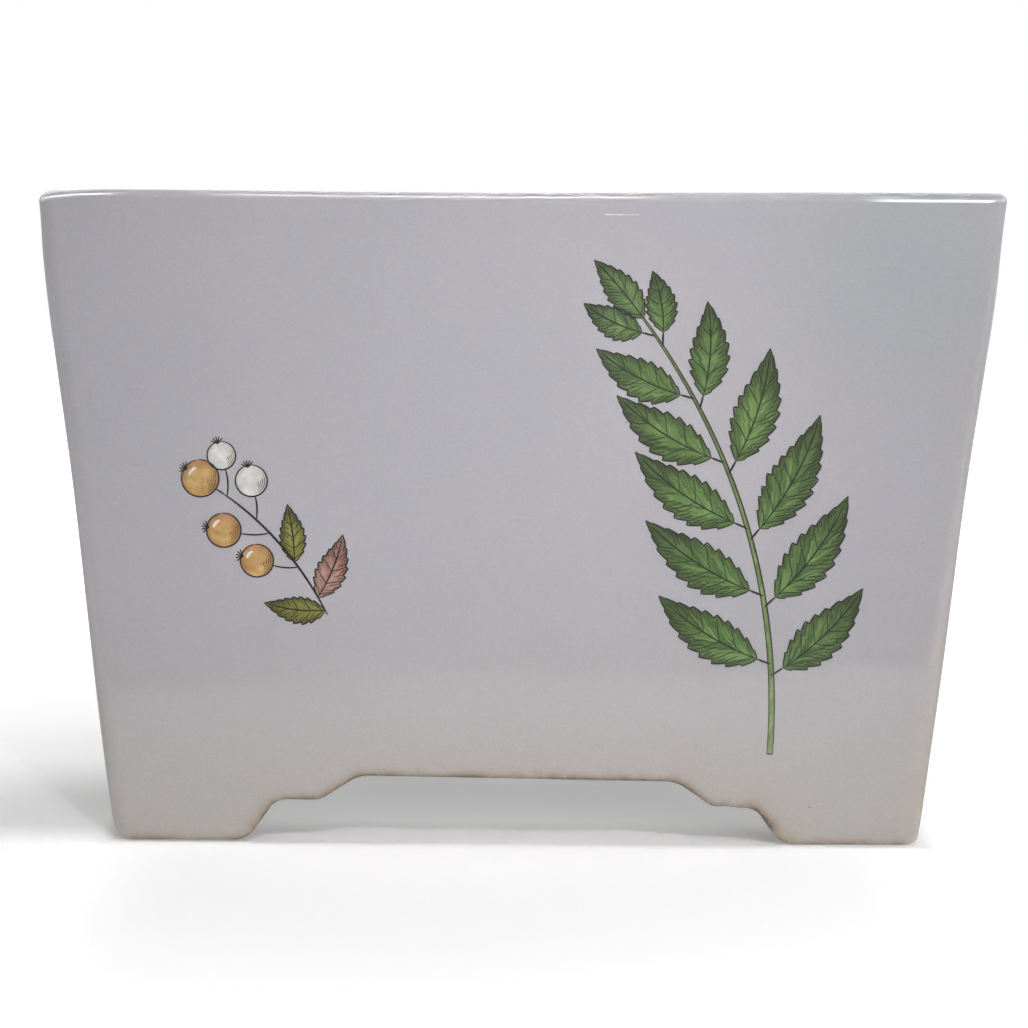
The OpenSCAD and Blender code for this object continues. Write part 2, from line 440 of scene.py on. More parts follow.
def wall_skin(side):
    """The grid of a wall's skin (columns, loop, 3) and how many rows each stretch of its loop has.
    Each stretch gives the height, depth, spread and shift that its points have."""
    outline = arch_for(side)
    ends = np.linspace(1, 0, CORNER_COLUMNS, endpoint=False)
    turn = np.concatenate([-ends, np.zeros(len(outline)), ends[::-1]])[:, None]
    pad = ((CORNER_COLUMNS, CORNER_COLUMNS), (0, 0))
    across, low = np.pad(outline, pad, mode="edge").T[..., None]
    up_x, up_z = np.pad(left_of(outline), pad, mode="edge").T[..., None]
    edge_r = SOLE_R + (ARCH_R - SOLE_R) * smooth(0.5 * MM, 6 * MM, low)

    def face(depth, radius, t):
        """Straight rows at one depth: from the rounded lower edge to the rim's foot as t goes 0 to 1."""
        start = low + up_z * radius
        return start + (HEIGHT - RIM_R - start) * t, depth, t, up_x * radius * (1 - t)

    def edge(angle, radius, depth_of):
        """A quarter circle: radius * (1 - sin) above the outline, radius * (1 - cos) from the face."""
        rise = radius * (1 - np.sin(angle))
        return low + up_z * rise, depth_of(radius * (1 - np.cos(angle))), 0.0, up_x * rise

    def rim(angle, middle_depth):
        """An arc over the rim: RIM_R * sin above the circle's middle, RIM_R * cos outside it."""
        return HEIGHT - RIM_R + RIM_R * np.sin(angle), middle_depth - RIM_R * np.cos(angle), 1.0, 0.0

    rows = np.linspace(0, 1, FACE_ROWS)[None, :]
    rows = rows - 0.9 * np.sin(2 * math.pi * rows) / (2 * math.pi)
    quarter = np.linspace(0, math.pi / 2, RIM_ROWS)[None, 1:]
    stretches = [
        face(0.0, edge_r, rows),
        rim(quarter, RIM_R),
        rim(math.pi / 2 + quarter[:, :-1], WALL_T - RIM_R),
        face(WALL_T, INNER_EDGE_R, np.linspace(1, 0, INSIDE_ROWS)[None, :]),
        edge(np.linspace(0, math.pi / 2, INNER_EDGE_ROWS)[None, 1:], INNER_EDGE_R, lambda d: WALL_T - d),
        edge(np.linspace(math.pi / 2, 0, SOLE_ROWS)[None, :-1], edge_r, lambda d: d),
    ]
    parts = [wall_points(across, turn, *stretch, side) for stretch in stretches]
    return np.concatenate(parts, axis=1), [p.shape[1] for p in parts]


def wall_normals(points, side):
    """Grid normals, with those on both ends laid into the corner's diagonal plane, where the next
    wall's skin has the same ones."""
    normals = grid_normals(points)
    for column, sign in ((0, -1), (-1, 1)):
        across = turned(np.array([1.0, sign, 0.0]) / math.sqrt(2), side)
        normals[column] = unit(normals[column] - (normals[column] @ across)[:, None] * across)
    return normals


# %% [markdown]
# Glaze runs off an edge before it sets, so it is thin there and the clay shows through. Along the
# arch and the soles that dark edge is also painted shade, for the shadow where they meet the ground.
# The shader could find the edges by itself with a Bevel node, but it wouldn't know a sole from a rim.
# So each point of the skin holds four values for it.

# %% Build the walls
# At one foot of each wall the edge darkens more, over a wider band: where across, in mm, and how much
FOOT_DARKENING = [(82, 0.36), (-84, 0.25), (82, 0.35), (-84, 0.4)]
FOOT_DARKENING_REACH = 8
# How much the glaze has run off each upright corner, in the order of CORNERS
WEAR = [1.0, 0.6, 0.8, 0.2]
# On each wall the glaze lies thicker in one place: its middle across and up, and its reach, in mm
POOLS = [(120, 184, 36), (-84, 70, 48), (34, 130, 52), (-62, 158, 45)]


def edge_layers(points, side):
    """Four values per point, read by the glaze. thin falls with the distance from the arch and sole,
    as a sum of exponentials that reach 1.3, 4 and 12 mm, and darkens there as clay under thin glaze and
    as painted shade. worn is exp(-distance / 3 mm) from the upright corners. bare is 1 on the soles,
    and pooled is exp(-(distance / reach)^2) from the middle of the wall's pool."""
    x, _, z = np.moveaxis(turned(points, -side), -1, 0)
    outline = arch_for(side)[::2]
    start, along = outline[:-1], np.diff(outline, axis=0)
    from_start = np.stack([x, z], -1)[:, :, None] - start
    share = np.clip((from_start * along).sum(-1) / (along**2).sum(-1), 0, 1)
    gap = np.linalg.norm(from_start - share[..., None] * along, axis=-1).min(axis=-1) / MM
    toe, darkening = FOOT_DARKENING[side]
    # The dark band along the arch and soles: clay under thin glaze, and painted shade
    broad = 0.08 + 0.12 * smooth(0, 8 * MM, z) + darkening * np.exp(-(((x / MM - toe) / FOOT_DARKENING_REACH) ** 2))
    thin = 0.88 * np.exp(-gap / 1.3) + broad * np.exp(-gap / 4) + 0.04 * np.exp(-gap / 12)
    wear = np.where(x > 0, WEAR[side], WEAR[side - 1]) * (0.05 + 0.95 * smooth(HEIGHT, 0, z))
    corner = np.maximum(outer_half(z) - np.abs(x), 0)
    pool_x, pool_z, reach = POOLS[side]
    far = np.hypot(x / MM - pool_x, z / MM - pool_z)
    return {"thin": np.clip(thin, 0, 1),
            "worn": np.exp(-corner / (3 * MM)) * wear,
            "bare": smooth(0.2 * MM, 0.05 * MM, z),
            "pooled": np.exp(-((far / reach) ** 2))}


walls = []
for side, word in enumerate(SIDES):
    grid, counts = wall_skin(side)
    piece = tube_piece(word + "_wall_skin", grid, wall_normals(grid, side), edge_layers(grid, side))
    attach(piece, "root")
    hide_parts(word + "_wall")
    walls.append(piece)
    print(piece.name, "has", len(piece.data.polygons), "faces; section rows", counts)

# %% [markdown]
# ## The floor and its drain hole
# The floor slab lies between the walls. Its skin is a grid of rings: each ring starts as the drain
# hole's circle and grows into the slab's square. The blend from circle to square is a straight mix
# of the two, and the hole's edges are rounded as a wet finger leaves them. A slab with a hole cut
# through it would have long thin faces there, which a gloss shows.

# %% Build the floor
RING_POINTS = 160
HOLE_EDGE_RINGS = 6
TOP_RINGS = 26
UNDERSIDE_RINGS = 14
HOLE_EDGE_R = 2 * MM
FLOOR_SAG = 0.6 * MM
# A gap to the walls' inner faces that no eye sees
FLOOR_GAP = 0.05 * MM


def aimed(angle):
    """Vectors of length 1 in a plane, at these angles: (cos angle, sin angle)."""
    return np.stack([np.cos(angle), np.sin(angle)], -1)


def floor_skin():
    """The floor's grid (ring round the section, angle): hole wall, top, outer side, underside. Each
    ring is circle * (1 - t) + square * t, and the slab sags by sin(pi t)."""
    circle = aimed(np.linspace(0, 2 * math.pi, RING_POINTS, endpoint=False))
    edge = HOLE_EDGE_R * (1 - aimed(np.linspace(0, math.pi / 2, HOLE_EDGE_RINGS)))
    wide = DRAIN_R + HOLE_EDGE_R
    rings = [(DRAIN_R + out, FLOOR_TOP - down, 0.0) for out, down in edge]
    rings += [(wide, FLOOR_TOP, t) for t in np.linspace(0, 1, TOP_RINGS)[1:]]
    rings += [(wide, FLOOR_LOW, t) for t in np.linspace(1, 0, UNDERSIDE_RINGS)[:-1]]
    rings += [(DRAIN_R + out, FLOOR_LOW + up, 0.0) for out, up in edge[::-1]]
    grid = []
    for radius, z, t in rings:
        square = (inner_half(z) - FLOOR_GAP) / np.abs(circle).max(axis=1, keepdims=True) * circle
        plan = radius * circle * (1 - t) + square * t
        dish = np.sin(plan[:, 0] * 40 + 1) * np.sin(plan[:, 1] * 33) - 1
        grid.append(np.column_stack([plan, z + FLOOR_SAG * math.sin(math.pi * t) * dish]))
    return np.array(grid)


rings = floor_skin()
floor_piece = mesh_piece("floor_skin", rings.reshape(-1, 3), [grid_quads(*rings.shape[:2], wrap=True)])
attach(floor_piece, "root")
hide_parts("floor_slab")
print(floor_piece.name, "has", len(floor_piece.data.polygons), "faces")

# %% [markdown]
# ## The coils in the seams
# A potter seals each inside seam with a soft coil and draws a finger along it. What is left is a
# small hollow fillet whose width breathes a little along the seam. Each coil is a section of two
# flat legs and a hollow face, carried along a straight seam. The two legs lie a hair inside the
# slabs' skins, so that no light shows between them. A curve with a bevel profile could make them,
# but its section would be the same all along.

# %% Build the coils
FINGER_R = 14 * MM
# How deep a coil's own corner lies in the slabs, and how far its hollow runs on into them, as a
# share of one step along it
SUNK = 0.49 * MM
RUN_ON = 0.8
COIL_ROWS = 60
HOLLOW_POINTS = 10


def coil_section(corner, to_a, to_b, leg):
    """A loop round a pressed coil: the corner, along leg a, and back to leg b on the fingertip's
    circle, which passes through both legs' ends with radius FINGER_R and runs on into the slabs."""
    a, b = corner + to_a * leg, corner + to_b * leg
    half = np.linalg.norm(b - a, axis=-1, keepdims=True) / 2
    away = unit((a + b) / 2 - corner)
    centre = (a + b) / 2 + away * np.sqrt(FINGER_R**2 - half**2)
    share = np.linspace(0, 1, HOLLOW_POINTS)[:, None, None]
    arc = centre + unit(a * (1 - share) + b * share - centre) * FINGER_R
    first = (1 + RUN_ON) * arc[:1] - RUN_ON * arc[1:2]
    last = (1 + RUN_ON) * arc[-1:] - RUN_ON * arc[-2:-1]
    return np.concatenate([(corner - away * SUNK)[None], first, arc, last]).transpose(1, 0, 2)


def seam_coil(part, word, ends, legs, taper, seed):
    """A coil between two ends, with legs along two ways that swell and shrink by a tenth. taper is
    what is left of them at either end."""
    t = np.linspace(0, 1, COIL_ROWS)[:, None]
    line = ends[0] * (1 - t) + ends[1] * t
    breath = 1 + 0.07 * np.sin(t * 17 + seed) + 0.05 * np.sin(t * 41 + 2 * seed)
    close = 1 - (1 - taper[0]) * (1 - smooth(0, 0.07, t)) - (1 - taper[1]) * smooth(0.86, 1, t)
    leg = COIL_LEG * breath * close
    to_a, to_b = unit(legs)
    place = line + (to_a + to_b) * leg / 2
    push = unit(place * [1, 1, 0]) * hand_push(place)[:, None]
    piece = tube_piece(part + "_skin_" + word, coil_section(line, to_a, to_b, leg) + push[:, None])
    node = part + "_" + word
    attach(piece, "root")
    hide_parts(node)
    return piece


# The coils of an upright corner: part, low and high end, slot, taper, pace and start of the seed
UPRIGHT_COILS = [
    ("corner_coil", FLOOR_TOP - 1 * MM, HEIGHT - 9 * MM, "inner_glaze", (1.0, 0.4), 1.7, 0),
    ("foot_coil", 2 * MM, FLOOR_LOW + 0.5 * MM, "thin_glaze", (0.8, 1.0), 2.3, 1),
]
coils = []
for side, corner in enumerate(CORNERS):
    legs = turned(np.array([(-1.0, 0, 0), (0, 1, 0)]), side)
    for part, low, high, slot, taper, pace, first in UPRIGHT_COILS:
        ends = turned(np.array([(inner_half(z), -inner_half(z), z) for z in (low, high)]), side)
        coils.append(seam_coil(part, corner, ends, legs, taper, side * pace + first))
for side, word in enumerate(SIDES):
    half = inner_half(FLOOR_TOP)
    ends = turned(np.array([(x, -half, FLOOR_TOP) for x in (1 * MM - half, half - 1 * MM)]), side)
    legs = turned(np.array([(0.0, 1, 0), (0, -TAN_LEAN, 1)]), side)
    coils.append(seam_coil("floor_coil", word, ends, legs, (1, 1), side * 3.1 + 2))
print(len(coils), "coils")


# %% [markdown]
# ## Glaze
# The glaze is glassy and pale. Its colour drifts from cool grey to lilac over a few centimetres and
# is speckled with very fine grain. Where it runs off an edge it is thin, and the clay shows through
# as warm beige. At the very edge of the arch and the soles it turns dark brown, partly clay and partly
# painted shade. A few pinholes, where gas left the clay, show as dark specks. All that could be
# painted on an image, but a pattern worked out in the shader stays sharp at any distance. Several
# finishes share it, so it is one node group with named outputs.

# %% Node helpers
def plug(tree, socket, value):
    """Feeds a socket with a node's output, with a Value or with a constant."""
    value = getattr(value, "socket", value)
    if isinstance(value, bpy.types.NodeSocket):
        tree.links.new(value, socket)
    elif socket.type == "RGBA":
        socket.default_value = (*value, 1.0)
    else:
        socket.default_value = value


def add_node(tree, kind, inputs=(), **settings):
    """A node of that kind, laid out in columns. inputs tells what to plug into which sockets, and
    settings are the node's own."""
    node = tree.nodes.new("ShaderNode" + kind)
    column, row = divmod(len(tree.nodes), 6)
    node.location = (column * 220 - 1800, 900 - row * 280)
    for name, value in settings.items():
        setattr(node, name, value)
    for name, value in dict(inputs).items():
        plug(tree, node.inputs[name], value)
    return node


class Value:
    """A number that varies over the surface. Sums, differences, products, quotients and powers of
    Values and plain numbers become Math nodes, so that a formula reads as it does on paper."""

    def __init__(self, tree, socket):
        self.tree, self.socket = tree, socket

    def math(self, operation, *others, clamp=False):
        """What a Math node makes of this and the others."""
        node = add_node(self.tree, "Math", enumerate((self, *others)), operation=operation,
                        use_clamp=clamp)
        return Value(self.tree, node.outputs[0])

    def __add__(self, other):
        return self.math("ADD", other)

    def __sub__(self, other):
        return self.math("SUBTRACT", other)

    def __mul__(self, other):
        return self.math("MULTIPLY", other)

    def __truediv__(self, other):
        return self.math("DIVIDE", other)

    def __pow__(self, other):
        return self.math("POWER", other)

    def __abs__(self):
        return self.math("ABSOLUTE")

    def ramp(self, low, high, out_low=0.0, out_high=1.0):
        """A smooth step: out_low where this is low, out_high where it is high."""
        names = ("Value", "From Min", "From Max", "To Min", "To Max")
        node = add_node(self.tree, "MapRange", zip(names, (self, low, high, out_low, out_high)),
                        interpolation_type="SMOOTHSTEP")
        return Value(self.tree, node.outputs["Result"])

    def grey(self):
        """The colour that has this in all its channels."""
        return add_node(self.tree, "CombineColor", enumerate((self,) * 3)).outputs[0]


# %% Colours, patterns and groups
def mix(tree, factor, a, b, blend="MIX"):
    """A colour mix of a and b."""
    node = add_node(tree, "Mix", {0: factor}, data_type="RGBA", blend_type=blend)
    plug(tree, node.inputs[6], a)
    plug(tree, node.inputs[7], b)
    return node.outputs[2]


def xyz(tree, vector):
    """The three parts of a vector."""
    return [Value(tree, part) for part in add_node(tree, "SeparateXYZ", {0: vector}).outputs]


def noise(tree, inputs):
    """A soft noise between 0 and 1."""
    return Value(tree, add_node(tree, "TexNoise", inputs).outputs["Fac"])


def attribute(tree, name):
    """What the mesh holds under that name."""
    return Value(tree, add_node(tree, "Attribute", attribute_name=name).outputs["Fac"])


def make_group(name, usual, fill):
    """A node group. usual gives each input's usual value. fill takes the tree and the inputs as
    Values, and gives the outputs by name."""
    group = bpy.data.node_groups.new(name, "ShaderNodeTree")
    for key, value in usual.items():
        socket = group.interface.new_socket(name=key, in_out="INPUT", socket_type="NodeSocketFloat")
        socket.default_value = value
    start = group.nodes.new("NodeGroupInput")
    results = fill(group, {o.name: Value(group, o) for o in start.outputs})
    for key in results:
        group.interface.new_socket(name=key, in_out="OUTPUT", socket_type="NodeSocketFloat")
    end = group.nodes.new("NodeGroupOutput")
    for key, value in results.items():
        plug(group, end.inputs[key], value)
    return group


def use_group(tree, group, inputs=()):
    """Places a node group in a tree, and gives its outputs by name."""
    return {o.name: Value(tree, o) for o in add_node(tree, "Group", inputs, node_tree=group).outputs}


def srgb(r, g, b):
    """A colour read off a screen, 0 to 255 a channel, as the linear numbers that a shader takes."""
    c = np.array([r, g, b]) / 255
    return tuple(float(v) for v in np.where(c <= 0.04045, c / 12.92, ((c + 0.055) / 1.055) ** 2.4))


# %% [markdown]
# The kiln leaves its traces at every scale, so the pattern has four noises from centimetres down to
# tenths of a millimetre. Pinholes are rare: a Voronoi texture scatters points, and the random colour
# of each cell decides whether it holds one, and how wide it is.

# %% The glaze's shared pattern
def glaze_pattern(group, given):
    """Patterns on object coordinates. Drift and Mottle are slow changes of colour, Grain is fine,
    Specks are rare dark points, and Height is the ripple of a fired surface."""
    coords = add_node(group, "TexCoord").outputs["Object"]

    def cloud(size, detail, roughness=0.5):
        """A noise at one of the group's sizes."""
        return noise(group, {"Vector": coords, "Scale": given[size], "Detail": detail,
                             "Roughness": roughness})

    grain = cloud("Grain size", 2.0, 0.7)
    cells = add_node(group, "TexVoronoi", {"Vector": coords, "Scale": given["Speck size"]}, feature="F1")
    split = add_node(group, "SeparateColor", {"Color": cells.outputs["Color"]})
    reach = Value(group, split.outputs["Red"]).ramp(0.86, 1.0, 0.0, 0.05)
    inside = reach - Value(group, cells.outputs["Distance"])
    return {
        "Drift": cloud("Drift size", 2.0).ramp(0.3, 0.7),
        "Mottle": cloud("Mottle size", 3.0, 0.6).ramp(0.32, 0.68),
        "Grain": grain,
        "Specks": inside.math("MULTIPLY", 120.0, clamp=True),
        "Height": cloud("Ripple size", 1.0) + grain * 0.04,
    }


SCALES = {"Drift size": 16.0, "Mottle size": 150.0, "Grain size": 1500.0, "Speck size": 150.0,
          "Ripple size": 210.0}
PATTERN = make_group("Fired glaze pattern", SCALES, glaze_pattern)
print(PATTERN.name, "has", len(PATTERN.nodes), "nodes")

# %% [markdown]
# Three finishes share the pattern. The outer glaze is the glossiest and reads the four values of the
# walls' edges. Inside, the glaze is plainer, and under the floor only a thin coat was wiped on. A
# glossy Principled surface is enough, because a glaze this pale and thick hides the clay beneath it.

# %% Glaze materials
GLASS_IOR = 1.52
# What shows through the glaze on the upright corners
WORN_TINT = srgb(198, 176, 148)
# The ochre of thin glaze over clay, before it turns dark at the very edge
STAIN_TINT = srgb(172, 154, 132)
# The cooler colour of the glaze where it has pooled
POOLED_TINT = srgb(165, 169, 172)
BARE_CLAY = srgb(186, 160, 132)
PINHOLE = srgb(96, 84, 72)
# How high above the ground the colour of the lower wall reaches, in metres
LOW_REACH = 0.1
# How the mottle's warm and its blue patches differ from the body colours, channel by channel
WARMER = (1.05, 0.985, 1.0)
BLUER = (0.965, 1.0, 1.01)


def principled(name):
    """A new material, its tree and its Principled shader."""
    material = bpy.data.materials.new(name)
    material.use_nodes = True
    return material, material.node_tree, material.node_tree.nodes["Principled BSDF"]


def dress(tree, shader, colour, rough, height, ripple):
    """Feeds a glassy shader with its colour, its roughness and a bump of the height times ripple."""
    bump = add_node(tree, "Bump", {"Strength": 1.0, "Distance": ripple, "Height": height})
    for name, value in (("Base Color", colour), ("Roughness", rough), ("Normal", bump.outputs[0]),
                        ("IOR", GLASS_IOR)):
        plug(tree, shader.inputs[name], value)


def glaze_material(name, cool, lilac, low_tint, gloss, ripple, edge_clay_and_shade_tint=None):
    """A glossy glaze. cool and lilac are its two body colours, and low_tint the colour that it leans
    to near the ground. A piece with the edge layers gets a dark tint at its edges: clay under thin
    glaze, and painted shade along the arch and the soles."""
    material, tree, shader = principled(name)
    out = use_group(tree, PATTERN)
    warm = tuple(c * k for c, k in zip(lilac, WARMER))
    blue = tuple(c * k for c, k in zip(cool, BLUER))
    body = mix(tree, out["Drift"], cool, lilac)
    body = mix(tree, 0.2, body, mix(tree, out["Mottle"], blue, warm))
    height = xyz(tree, add_node(tree, "TexCoord").outputs["Object"])[2]
    body = mix(tree, height.ramp(0.0, LOW_REACH, 0.9, 0.0), body, low_tint)
    if edge_clay_and_shade_tint:
        body = mix(tree, attribute(tree, "pooled"), body, POOLED_TINT)
        patchy = out["Mottle"] * 0.6 + 0.65
        thin_glaze_and_shade = attribute(tree, "thin").math("MULTIPLY", patchy, clamp=True)
        wear = attribute(tree, "worn").math("MULTIPLY", patchy, clamp=True)
        body = mix(tree, wear * 0.75, body, WORN_TINT)
        body = mix(tree, thin_glaze_and_shade.math("MULTIPLY", 1.5, clamp=True), body, STAIN_TINT)
        # Darkest at the very edge: clay under thin glaze, and painted shade along the arch and soles
        body = mix(tree, thin_glaze_and_shade**2.0, body, edge_clay_and_shade_tint)
    body = mix(tree, 1.0, body, out["Grain"].ramp(0.25, 0.75, 0.955, 1.04).grey(), "MULTIPLY")
    body = mix(tree, out["Specks"], body, PINHOLE)
    rough = out["Mottle"].ramp(0.0, 1.0, gloss * 0.85, gloss * 1.2)
    if edge_clay_and_shade_tint:
        bare = attribute(tree, "bare")
        body = mix(tree, bare, body, BARE_CLAY)
        rough = rough.math("MAXIMUM", bare * 0.8)
    dress(tree, shader, body, rough, out["Height"], ripple)
    return material


# Its dark edge tint is clay under thin glaze and painted shade along the arch and soles
OUTER_GLAZE = glaze_material("outer glaze", cool=srgb(171, 171, 176), lilac=srgb(176, 172, 177),
                             low_tint=srgb(172, 168, 164), gloss=0.05, ripple=0.004 * MM,
                             edge_clay_and_shade_tint=srgb(90, 72, 56))
INNER_GLAZE = glaze_material("inner glaze", cool=srgb(176, 176, 178), lilac=srgb(179, 176, 178),
                             low_tint=srgb(178, 172, 168), gloss=0.13, ripple=0.06 * MM)
THIN_GLAZE = glaze_material("thin glaze", cool=srgb(164, 156, 148), lilac=srgb(168, 158, 148),
                            low_tint=srgb(160, 148, 134), gloss=0.25, ripple=0.1 * MM)
for piece in walls:
    piece.data.materials.append(OUTER_GLAZE)
for piece in [floor_piece] + coils:
    piece.data.materials.append(THIN_GLAZE if piece.name.startswith("foot") else INNER_GLAZE)
print("glazed", len(walls) + 1 + len(coils), "pieces")

# %% [markdown]
# ## The painting
# The pot is painted by hand over the fired glaze with a leafy spray on one side of each wall and a
# sprig of small round fruit on the other. It could be an image wrapped on the wall, but enamel stands
# a few hundredths of a millimetre proud, and real strokes keep their sharp edges at any distance.
# So every wash and every ink line is a thin closed strip of mesh that follows the uneven wall.

# %% Strips that follow a wall
WASH_LIFT = 0.04 * MM
INK_LIFT = 0.065 * MM
SUNK_PAINT = 0.03 * MM
INK_ACROSS = np.array([-1.0, -0.75, 0.75, 1.0])
WASH_ACROSS = np.array([-1.0, -0.96, -0.5, 0.0, 0.5, 0.96, 1.0])
# The strips of each wall and kind
paint = {}


def on_wall(side, place, lift):
    """Points on a wall's outer face. place holds x across and height z, and lift raises a point
    along the normal of the leaning face. The hand's pushes are then the same as the wall's."""
    x, z = place[..., 0], place[..., 1]
    flat = np.stack([x, -outer_half(z) - lift * math.cos(LEAN), z - lift * math.sin(LEAN)], -1)
    return settled(turned(flat, side), turned(np.array([0.0, -1.0, 0.0]), side))


def wall_normal(side, place):
    """The wall's unit normal: the cross product of two central differences a millimetre wide."""
    across, rising = (on_wall(side, place + step, 0) - on_wall(side, place - step, 0)
                      for step in np.array([[0.5, 0], [0, 0.5]]) * MM)
    return unit(np.cross(across, rising))


def strip(side, kind, line, left, right, lift, across=INK_ACROSS, seed=0.0):
    """Lays a closed strip along a path (n, 2), left and right being its half widths. Its top is flat
    at its lift, and its edges, at s = -1 and 1 across, slope into the wall, as its underside does."""
    s = np.concatenate([across, across[-2:0:-1]])[None, :] + 0 * line[:, :1]
    reach = s * np.where(s > 0, np.reshape(left, (-1, 1)), np.reshape(right, (-1, 1)))
    place = line[:, None] + left_of(line)[:, None] * reach[..., None]
    height = np.where(np.abs(s) < 1, lift, -SUNK_PAINT)
    height[:, len(across):] = -2 * SUNK_PAINT
    along = np.linspace(0, 1, len(line))[:, None] + 0 * s
    uv = np.stack([along, s / 2 + 0.5], -1)
    paint.setdefault((side, kind), []).append((place, height, uv, np.full(s.shape, seed)))


def ink(side, line, width, kind="ink", lift=INK_LIFT):
    """A brush line that swells in its middle and thins to its ends: its width is multiplied by
    0.35 + 0.65 sin(pi t)^0.4."""
    t = np.clip(np.linspace(0, 1, len(line)), 0.001, 0.999)
    half = width / 2 * (0.35 + 0.65 * np.sin(math.pi * t) ** 0.4)
    strip(side, kind, line, half, half, lift)


def painted_piece(side, kind):
    """Joins all the strips of one kind on one wall into a piece, with uv and a seed on each strip."""
    faces, caps, start = [], [], 0
    for _, height, _, _ in paint[(side, kind)]:
        rows, loop = height.shape
        first = start + np.arange(loop)[None]
        faces.append(start + grid_quads(rows, loop)[:, ::-1])
        caps += [first, first[:, ::-1] + (rows - 1) * loop]
        start += rows * loop
    place, height, uv, seed = (
        np.concatenate([part.reshape(-1, *part.shape[2:]) for part in parts])
        for parts in zip(*paint[(side, kind)]))
    piece = mesh_piece(SIDES[side] + "_" + kind, on_wall(side, place, height),
                       [np.concatenate(faces)] + caps, wall_normal(side, place), uv, {"seed": seed})
    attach(piece, "root")
    return piece


# %% [markdown]
# ### One leaf
# A leaf is a midrib that bends evenly, and two margins beside it. The half width follows
# sin(pi t^0.75), which is broadest before the middle and ends in a point, and a saw wave gives its
# teeth. The wash stays a little inside the ink, as a loaded brush does. Side veins leave the midrib
# forwards, and short hatching shades one half.

# %% Paint a leaf
TOOTH_POINTS = 7
TOOTH_DEPTH = 0.24
VEIN_RUN = 0.15


def bent_line(start, angle, length, bend, count):
    """A path of even steps from start, whose heading turns from angle by bend over its length."""
    steps = aimed(angle + bend * np.linspace(0, 1, count - 1)) * length / (count - 1)
    return np.concatenate([[start], start + np.cumsum(steps, axis=0)])


def at(rows, t):
    """Rows of an evenly spaced table at the shares t of its length."""
    return between(t, np.linspace(0, 1, len(rows)), rows)


def paint_leaf(side, start, angle, length, width, bend, teeth, seed, kind="leaf"):
    """Wash, margins, midrib, veins and hatching of one leaf. Lengths in metres, angles in radians."""
    t = np.linspace(0, 1, teeth * TOOTH_POINTS + 1)
    rib = bent_line(np.array(start), angle, length, bend, len(t))
    beside = left_of(rib)
    body = width / 2 * np.sin(math.pi * t**0.75)
    halves = {}
    for sign, phase in ((1, 0.0), (-1, 0.45)):
        saw = (t * teeth + phase) % 1.0
        halves[sign] = body * (1 + TOOTH_DEPTH * (saw - 0.5)) * (1 + 0.03 * sign)
    sway = 0.02 * np.sin(t * 9 + seed * 40)
    left, right = (halves[sign] * (0.98 + sign * sway) + 0.02 * MM for sign in (1, -1))
    strip(side, kind, rib, left, right, WASH_LIFT, WASH_ACROSS, seed)
    ink(side, rib[: int(len(rib) * 0.93)], 0.6 * MM)
    rows = np.column_stack([rib, beside])
    strokes = 4 * max(4, int(teeth * 0.6))
    shaded = 1 if math.cos(angle) < 0 else -1
    for sign in (1, -1):
        ink(side, rib + beside * (sign * halves[sign])[:, None], 0.62 * MM)
        for k in range(strokes):
            leave = 0.03 + 0.8 * k / strokes
            vein = k % 4 == 0
            if not vein and sign != shaded and leave < 0.5:
                continue
            first = 0.0 if vein else 0.46 + 0.2 * math.sin(k * 2.4 + seed * 50)
            share = np.linspace(first, 0.9, 7)
            spot = at(rows, leave + VEIN_RUN * share)
            half = np.interp(leave + VEIN_RUN * share, t, body)
            line = spot[:, :2] + spot[:, 2:] * (sign * half * share)[:, None]
            ink(side, line, (0.36 if vein else 0.3) * MM)


# %% [markdown]
# ### The spray and the sprig
# The spray is one stem that curves up the wall, with leaves in pairs that shorten towards its tip.
# The stem is a pale wash between two ink lines. The sprig is smaller: thin stalks that end in round
# fruit, some ochre and some white, with a few olive leaves. Each wall has its own places and bends.

# %% Paint a spray
PAIRS = 6


def heading(a, b):
    """The angle of the way from a to b."""
    return math.atan2(*(b - a)[::-1])


def curve(start, pull, end, count):
    """A quadratic curve that leaves start towards pull and reaches end from it."""
    t = np.linspace(0, 1, count)[:, None]
    return (1 - t) ** 2 * np.array(start) + 2 * t * (1 - t) * np.array(pull) + t**2 * np.array(end)


def paint_stem(side, line, low_width, high_width):
    """A stem between two ink lines, tapering evenly from its low end to its high end."""
    t = np.linspace(0, 1, len(line))
    half = (low_width + (high_width - low_width) * t) / 2
    strip(side, "stem", line, half, half, WASH_LIFT, WASH_ACROSS)
    edge = left_of(line) * half[:, None]
    ink(side, line + edge, 0.36 * MM)
    ink(side, line - edge, 0.5 * MM)
    ink(side, line[0] + edge[0] * np.linspace(-1, 1, 6)[:, None], 0.5 * MM)


